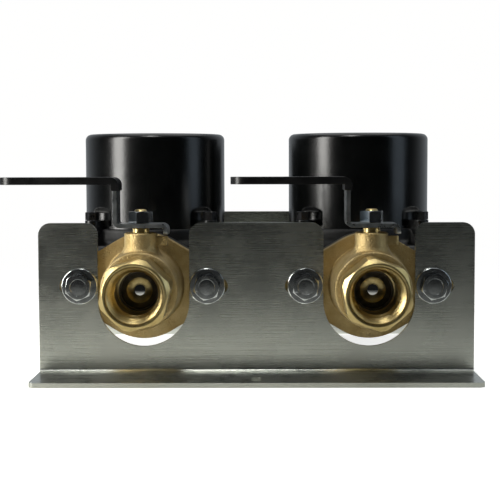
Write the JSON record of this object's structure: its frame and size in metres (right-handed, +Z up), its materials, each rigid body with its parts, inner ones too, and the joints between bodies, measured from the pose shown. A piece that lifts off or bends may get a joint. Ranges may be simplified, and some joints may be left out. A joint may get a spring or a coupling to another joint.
{
  "type": "twin circulator pump station",
  "caption": "Inline circulating pumps side by side on bent sheet-steel brackets, each with a flanged lever ball valve in front.",
  "frame": {"origin": "on the underside of the front bracket's foot, midway between the pumps, in the plane of both valve stems", "axes": "+X to the right seen from the front; +Y from the valves to the back, along the pipes; +Z up"},
  "size_m": [0.2947, 0.2967, 0.1542],
  "materials": {
    "stainless": "brushed lengthwise",
    "brass": "cast and machined",
    "motor_coat": "satin black powder coat",
    "pump_iron": "black painted casting",
    "zinc_steel": "zinc plated",
    "chrome": "polished",
    "vinyl": "dipped vinyl",
    "gasket": "pressed sheet",
    "steel": "machined",
    "winding": "laminations and varnished copper",
    "impeller_plastic": "moulded"
  },
  "bodies": {
    "root": {"left_pump_volute": "pump_iron", "left_motor_housing": "motor_coat", "left_bearing_plate": "steel", "left_rotor_can": "steel", "left_stator": "winding", "left_vent_plug": "brass", "left_terminal_box": "motor_coat", "left_terminal_cover": "motor_coat", "left_valve_body": "brass", "left_valve_end": "brass", "left_packing_nut": "brass", "left_front_gasket": "gasket", "left_rear_gasket": "gasket", "left_rear_flange": "brass", "left_motor_bolt_1": "motor_coat", "left_motor_bolt_2": "motor_coat", "left_motor_bolt_3": "motor_coat", "left_motor_bolt_4": "motor_coat", "left_front_bolt_1": "zinc_steel", "left_front_bolt_2": "zinc_steel", "left_rear_bolt_1": "zinc_steel", "left_rear_bolt_2": "zinc_steel", "right_pump_volute": "pump_iron", "right_motor_housing": "motor_coat", "right_bearing_plate": "steel", "right_rotor_can": "steel", "right_stator": "winding", "right_vent_plug": "brass", "right_terminal_box": "motor_coat", "right_terminal_cover": "motor_coat", "right_valve_body": "brass", "right_valve_end": "brass", "right_packing_nut": "brass", "right_front_gasket": "gasket", "right_rear_gasket": "gasket", "right_rear_flange": "brass", "right_motor_bolt_1": "motor_coat", "right_motor_bolt_2": "motor_coat", "right_motor_bolt_3": "motor_coat", "right_motor_bolt_4": "motor_coat", "right_front_bolt_1": "zinc_steel", "right_front_bolt_2": "zinc_steel", "right_rear_bolt_1": "zinc_steel", "right_rear_bolt_2": "zinc_steel", "front_bracket": "stainless", "rear_bracket": "stainless"},
    "left_valve": {"left_ball": "chrome", "left_stem": "brass", "left_lever": "zinc_steel", "left_lever_sleeve": "vinyl", "left_stem_nut": "zinc_steel"},
    "left_rotor": {"left_rotor_shaft": "steel", "left_impeller": "impeller_plastic"},
    "right_valve": {"right_ball": "chrome", "right_stem": "brass", "right_lever": "zinc_steel", "right_lever_sleeve": "vinyl", "right_stem_nut": "zinc_steel"},
    "right_rotor": {"right_rotor_shaft": "steel", "right_impeller": "impeller_plastic"}
  },
  "joints": [
    {"name": "left_valve_turn", "type": "hinge", "parent": "root", "child": "left_valve", "pos_m": [-0.071, 0, 0.09], "axis": [0, 0, 1], "range_deg": [0, 90]},
    {"name": "left_rotor_spin", "type": "hinge", "parent": "root", "child": "left_rotor", "pos_m": [-0.071, 0.1104, 0.1], "axis": [0, 0, 1], "continuous": true},
    {"name": "right_valve_turn", "type": "hinge", "parent": "root", "child": "right_valve", "pos_m": [0.071, 0, 0.09], "axis": [0, 0, 1], "range_deg": [0, 90]},
    {"name": "right_rotor_spin", "type": "hinge", "parent": "root", "child": "right_rotor", "pos_m": [0.071, 0.1104, 0.1], "axis": [0, 0, 1], "continuous": true}
  ]
}
